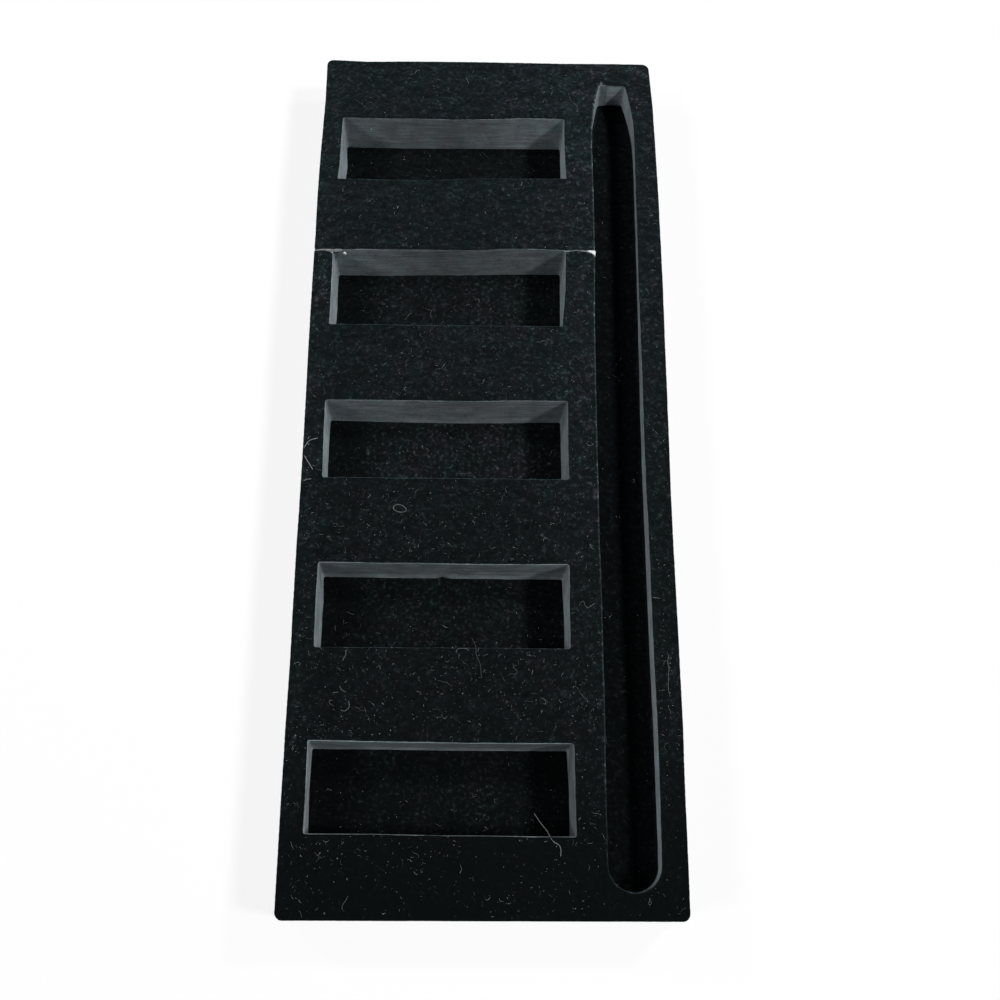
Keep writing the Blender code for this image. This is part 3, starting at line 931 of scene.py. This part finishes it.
def build_lint(material):
    surface = Surface()
    random = np.random.default_rng(LINT_SEED)
    outer = rim.outline(FOAM_TOP) + rim.pull * RIM_KEPT_CLEAR * MM
    openings = (*pockets, slot)
    holes = [opening.outline(FOAM_TOP) - opening.pull * MOUTH_KEPT_CLEAR * MM for opening in openings]
    places = random.uniform(outer.min(0), outer.max(0), (TOP_LINT * TOP_TRIES, 2))
    kept = inside(places, outer, holes)
    kept &= random.uniform(size=len(places)) < stop_tones(places, LINT_ALONG)
    clumps = lattice_noise(places, CLUMP_SIZE * MM, CLUMP_SEED)
    kept &= random.uniform(*CLUMP_RANGE, len(places)) < clumps
    scatter(surface, random, places[kept][:TOP_LINT], PILE_TOP, outer)
    floors = [(pocket, FOAM_FOOT, POCKET_LINT // len(pockets)) for pocket in pockets]
    for opening, height, count in (*floors, (slot, SLOT_FLOOR, SLOT_LINT)):
        window = opening.outline(height) + opening.pull * FOOT_KEPT_CLEAR * MM
        places = random.uniform(window.min(0), window.max(0), (count * FLOOR_TRIES, 2))
        scatter(surface, random, places[inside(places, window)][:count], height, window)
    for places, radius, tone in STANDING_LINT:
        path = np.array(places)
        if path.shape[1] == 2:
            path = np.column_stack([path, np.full(len(path), PILE_TOP / MM + STANDING_LIFT)])
        surface.tube(smooth_path(path * MM), radius * MM, tone)
    for x, y, *height in DUST:
        start, height = np.array((x, y)) * MM, height[0] * MM if height else PILE_TOP
        surface.tube(*fibre(random, start, height, DUST_LENGTH * MM, DUST_RADIUS * MM), DUST_TONE)
    return surface.object("lint_fibres", material)


def smooth_path(path):
    """A path through the same places with rounded bends."""
    straight = resampled(path, len(path) * 3 - 2)
    rounded = straight.copy()
    rounded[1:-1] = (straight[:-2] + 2 * straight[1:-1] + straight[2:]) / 4
    return rounded


# Materials


class Nodes:
    """The node tree of a material or a world, with short calls for the nodes that these share."""

    def __init__(self, owner):
        owner.use_nodes = True
        self.owner, self.tree = owner, owner.node_tree
        self.tree.nodes.clear()

    def plug(self, socket, value):
        """Links an output to a socket, or gives the socket any other value as it is."""
        if isinstance(value, bpy.types.NodeSocket):
            self.tree.links.new(value, socket)
        else:
            socket.default_value = value

    def made(self, kind, output, **values):
        """A new node of this kind with these inputs, or one of its outputs."""
        node = self.tree.nodes.new("ShaderNode" + kind)
        for name, value in values.items():
            self.plug(node.inputs[name.replace("_", " ")], value)
        return node.outputs[output] if output else node

    @cached_property
    def place(self):
        """The place of a point on the object, in millimetres."""
        return self.made("Mapping", "Vector", Vector=self.made("TexCoord", "Object"), Scale=(1 / MM,) * 3)

    def mapped(self, scale):
        return self.made("Mapping", "Vector", Vector=self.place, Scale=scale)

    def noise(self, size, detail=3.0, rough=0.6, vector=None):
        """Noise whose features are about size millimetres across."""
        place = vector or self.place
        return self.made("TexNoise", "Fac", Vector=place, Scale=1 / size, Detail=detail, Roughness=rough)

    def tone(self):
        """How light the mesh says that a point is: the own lightness of lint and torn foam, and painted light
        and shade on the foam and the velvet.
        """
        node = self.made("Attribute", None)
        node.attribute_name = "tone"
        return node.outputs["Fac"]

    def remap(self, value, low, high, to_low, to_high):
        ends = {"From_Min": low, "From_Max": high, "To_Min": to_low, "To_Max": to_high}
        return self.made("MapRange", "Result", Value=value, **ends)

    def spread(self, noise, low, high):
        """The middle part of a noise's range, spread between two factors."""
        return self.remap(noise, 0.3, 0.7, low, high)

    def math(self, operation, first, second):
        node = self.made("Math", None)
        node.operation = operation
        for socket, value in zip(node.inputs, (first, second)):
            self.plug(socket, value)
        return node.outputs["Value"]

    def product(self, *factors):
        total = factors[0]
        for factor in factors[1:]:
            total = self.math("MULTIPLY", total, factor)
        return total

    def hued(self, colour, hues, patches):
        """The colour, tinted in patches through (place, tint) stops."""
        node = self.made("ValToRGB", None, Fac=patches)
        elements = node.color_ramp.elements
        while len(elements) < len(hues):
            elements.new(0.5)
        for element, (place, tint) in zip(elements, hues):
            element.position = place
            element.color = (*(channel * share for channel, share in zip(colour, tint)), 1)
        return node.outputs["Color"]

    def bump(self, height, distance, strength=1.0, **under):
        """The surface made uneven, over the normal under it if one is given."""
        return self.made("Bump", "Normal", Height=height, Distance=distance, Strength=strength, **under)

    def finished(self, colour, factor, normal, **values):
        """The material in a colour times a factor that varies over it, with this normal and these values."""
        scaled = self.made("VectorMath", None)
        scaled.operation = "SCALE"
        self.plug(scaled.inputs["Vector"], colour)
        self.plug(scaled.inputs["Scale"], factor)
        values.update(Base_Color=scaled.outputs["Vector"], Normal=normal)
        shader = self.made("BsdfPrincipled", "BSDF", **values)
        self.made("OutputMaterial", None, Surface=shader)
        return self.owner

    def show(self, kind, plain, seen, share=1.0):
        """Shows the camera this share of one shader, and all other rays another shader."""
        part = self.math("MULTIPLY", self.made("LightPath", "Is Camera Ray"), share)
        mix = self.made("MixShader", None, Fac=part, Shader=plain)
        self.plug(mix.inputs[2], seen)
        self.made(kind, None, Surface=mix.outputs["Shader"])
        return self.owner


def new_material(name):
    return Nodes(bpy.data.materials.new(name))


def velvet_material(name, shade_level, sheen):
    """Short black pile: matt, mottled where it leans, with paler tips, and lighter at a flat angle. A shade
    level below one paints a darker copy of it, as painted shade.
    """
    nodes = new_material(name)
    middle = nodes.noise(1.05, 3.0, 0.55)
    broad = nodes.noise(3.2, 2.0, 0.5)
    tips = nodes.remap(nodes.noise(0.70, 2.0, 0.55), TIPS_FROM, TIPS_TO, 0.0, 1.0)
    tips = nodes.math("MULTIPLY", nodes.math("POWER", tips, TIPS_POWER), TIPS_GAIN)
    factor = nodes.product(
        nodes.math("ADD", tips, BETWEEN_TIPS),
        nodes.spread(middle, 0.50, 1.50),
        nodes.spread(broad, 0.60 * shade_level, 1.40 * shade_level),
        nodes.tone(),
    )
    normal = nodes.bump(nodes.noise(0.55, 3.0, 0.55), 0.06 * MM)
    normal = nodes.bump(middle, 0.26 * MM, 0.9, Normal=normal)
    normal = nodes.bump(broad, 0.95 * MM, 0.9, Normal=normal)
    return nodes.finished(
        nodes.hued(VELVET_COLOUR, VELVET_HUES, nodes.noise(5.5, 4.0, 0.65)), factor, normal, Roughness=0.95,
        Specular_IOR_Level=0.05, Sheen_Weight=sheen, Sheen_Roughness=0.5, Sheen_Tint=SHEEN_TINT,
    )


def foam_material():
    """Grey closed-cell foam as cut: fine cells and the faint streaks of the blade, with painted light that
    makes its top edge paler and each cut side lighter or darker.
    """
    nodes = new_material("foam")
    cells = nodes.noise(0.32, 3.0, 0.65)
    streaks = nodes.noise(1.0, vector=nodes.mapped((0.16, 0.16, 2.2)))
    lines = nodes.noise(1.0, 2.0, vector=nodes.mapped((0.20, 0.20, 3.8)))
    height = nodes.made("SeparateXYZ", "Z", Vector=nodes.place)
    top = FOAM_TOP / MM
    factor = nodes.product(
        nodes.spread(cells, 0.78, 1.22),
        nodes.spread(streaks, 0.80, 1.20),
        nodes.spread(lines, 0.84, 1.16),
        nodes.spread(nodes.noise(3.6), 0.78, 1.22),
        nodes.remap(height, top - RIM_PAINTED_LIGHT_DEPTH, top, 1.0, RIM_PAINTED_LIGHT),
        nodes.tone(),
    )
    normal = nodes.bump(streaks, 0.05 * MM, 0.6, Normal=nodes.bump(cells, 0.05 * MM, 0.8))
    colour = nodes.hued(FOAM_COLOUR, FOAM_HUES, nodes.noise(4.0))
    return nodes.finished(colour, factor, normal, Roughness=0.9, Specular_IOR_Level=0.2)


def toned_material(name, colour, grain):
    """A matt material whose lightness comes from the mesh, with a fine grain."""
    nodes = new_material(name)
    cells = nodes.noise(grain)
    factor = nodes.product(nodes.spread(cells, 0.80, 1.20), nodes.tone())
    normal = nodes.bump(cells, 0.06 * MM, 0.8)
    return nodes.finished(colour, factor, normal, Roughness=0.9, Specular_IOR_Level=0.2)


def board_material():
    """Dark grey paperboard with its short fibres."""
    nodes = new_material("board")
    fibres = nodes.noise(0.5, 4.0, 0.65, nodes.mapped((0.5, 1.6, 1.0)))
    patches = nodes.noise(6.0, 3.0, 0.5)
    factor = nodes.product(nodes.spread(fibres, 0.8, 1.2), nodes.spread(patches, 0.92, 1.08))
    normal = nodes.bump(fibres, 0.03 * MM, 0.7)
    return nodes.finished(BOARD_COLOUR, factor, normal, Roughness=0.8, Specular_IOR_Level=0.3)


# Stage, light and camera


def add_floor():
    """A white floor for the camera that still takes the object's shadow."""
    bpy.ops.mesh.primitive_plane_add(size=FLOOR_SIZE, location=(0, 0, -FLOOR_GAP))
    floor = bpy.context.object
    floor.name = "floor"
    nodes = new_material("floor")
    diffuse = nodes.made("BsdfDiffuse", "BSDF", Color=FLOOR_COLOUR)
    glow = nodes.made("Emission", "Emission")
    floor.data.materials.append(nodes.show("OutputMaterial", diffuse, glow, FLOOR_GLOW_SHARE))


def add_world():
    """A white world for the camera that gives the object only a trace of light."""
    nodes = Nodes(bpy.data.worlds.new("studio"))
    dim = nodes.made("Background", "Background", Strength=WORLD_LEVEL)
    white = nodes.made("Background", "Background", Color=(1, 1, 1, 1))
    bpy.context.scene.world = nodes.show("OutputWorld", dim, white)


def add_lamp(row):
    """A square soft lamp that shines on the middle of the insert."""
    lamp = bpy.data.lights.new(row.name, "AREA")
    lamp.shape = "SQUARE"
    lamp.size = row.size * row.distance
    lamp.energy = row.power
    turned = abs(row.slope) * math.tan(math.radians(row.turn))
    direction = Vector((row.slope, -turned, 1)).normalized()
    holder = add_object(row.name, lamp)
    holder.location = direction * row.distance + Vector((0, 0, PILE_TOP))
    holder.rotation_mode = "QUATERNION"
    holder.rotation_quaternion = direction.to_track_quat("Z", "Y")


def add_camera():
    """The photograph's camera: pitched down, turned a little to the right and rolled."""
    camera = bpy.data.cameras.new("camera")
    camera.lens = CAMERA_LENS
    camera.sensor_width = CAMERA_SENSOR
    camera.clip_start = CAMERA_CLIP
    holder = add_object("camera", camera)
    place = Matrix.Translation(CAMERA_PLACE)
    for turn, axis in ((-CAMERA_YAW, "Z"), (math.pi / 2 - CAMERA_PITCH, "X"), (CAMERA_ROLL, "Z")):
        place @= Matrix.Rotation(turn, 4, axis)
    holder.matrix_world = place
    bpy.context.scene.camera = holder


def main():
    foam = build_foam(foam_material())
    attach(foam, "root")
    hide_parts("foam_block")

    top = build_top_velvet(velvet_material("top_velvet", 1.0, TOP_SHEEN))
    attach(top, "root")
    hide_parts("top_velvet")

    # The floor and slot pile use painted shade: darker copies of the top velvet.
    floor = build_floor_velvet(velvet_material("floor_velvet", FLOOR_SHADE_LEVEL, FLOOR_SHEEN))
    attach(floor, "root")
    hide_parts("floor_velvet")

    strip = build_slot_velvet(velvet_material("slot_velvet", STRIP_SHADE_LEVEL, STRIP_SHEEN))
    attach(strip, "root")
    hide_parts("slot_velvet")

    torn_foam = build_torn_foam(toned_material("torn_foam", TORN_COLOUR, 0.25))
    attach(torn_foam, "root")

    lint = build_lint(toned_material("lint", LINT_COLOUR, 0.4))
    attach(lint, "root")

    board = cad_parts["base_board"]
    board.data.materials.clear()
    board.data.materials.append(board_material())

    add_floor()
    add_world()
    for lamp in LAMPS:
        add_lamp(lamp)
    add_camera()
    bpy.context.scene.view_settings.view_transform = "Standard"


main()
